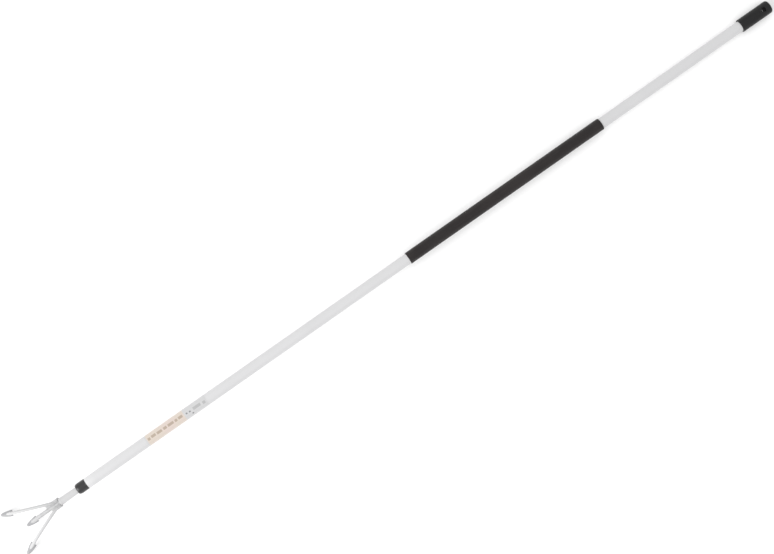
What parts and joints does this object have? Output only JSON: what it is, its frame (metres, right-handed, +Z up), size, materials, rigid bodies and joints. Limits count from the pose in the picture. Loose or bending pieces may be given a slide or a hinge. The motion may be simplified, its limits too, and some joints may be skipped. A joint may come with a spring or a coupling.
{
  "type": "long-handled cultivator",
  "caption": "Long-handled garden cultivator: slim tubular handle with a soft sleeve and a hanging cap, and a welded head of splayed spade-pointed tines held in a moulded ferrule.",
  "frame": {"origin": "under the middle of the tool's box, on the ground it lies on: it rests on its two outer blades and on the lower edge of its cap", "axes": "+X along the handle towards the capped end, so the head points to -X; +Z up from the ground, the blades curving down from the head; the tool is symmetric about the XZ plane, but for the lengths of two weld webs"},
  "size_m": [1.6404, 0.0864, 0.05],
  "materials": {
    "tube": "satin pale grey coating",
    "sleeve": "matt soft foam rubber",
    "cap": "fine matt moulded surface",
    "ferrule": "semi-matt moulded surface",
    "tang": "satin pale grey coating on steel",
    "tine": "satin pale grey coating on steel",
    "blade": "ground steel, thinly coated",
    "weld": "coated weld bead, slightly rippled",
    "pin": "plain steel",
    "label": "thin printed film"
  },
  "bodies": {
    "root": {"handle_tube": "tube", "grip_sleeve": "sleeve", "end_cap": "cap", "ferrule": "ferrule", "tang": "tang", "lock_pin": "pin", "centre_tine": "tine", "left_tine": "tine", "right_tine": "tine", "centre_blade": "blade", "left_blade": "blade", "right_blade": "blade", "left_hub_weld": "weld", "right_hub_weld": "weld", "centre_blade_weld": "weld", "left_blade_weld": "weld", "right_blade_weld": "weld", "label": "label"}
  },
  "joints": []
}
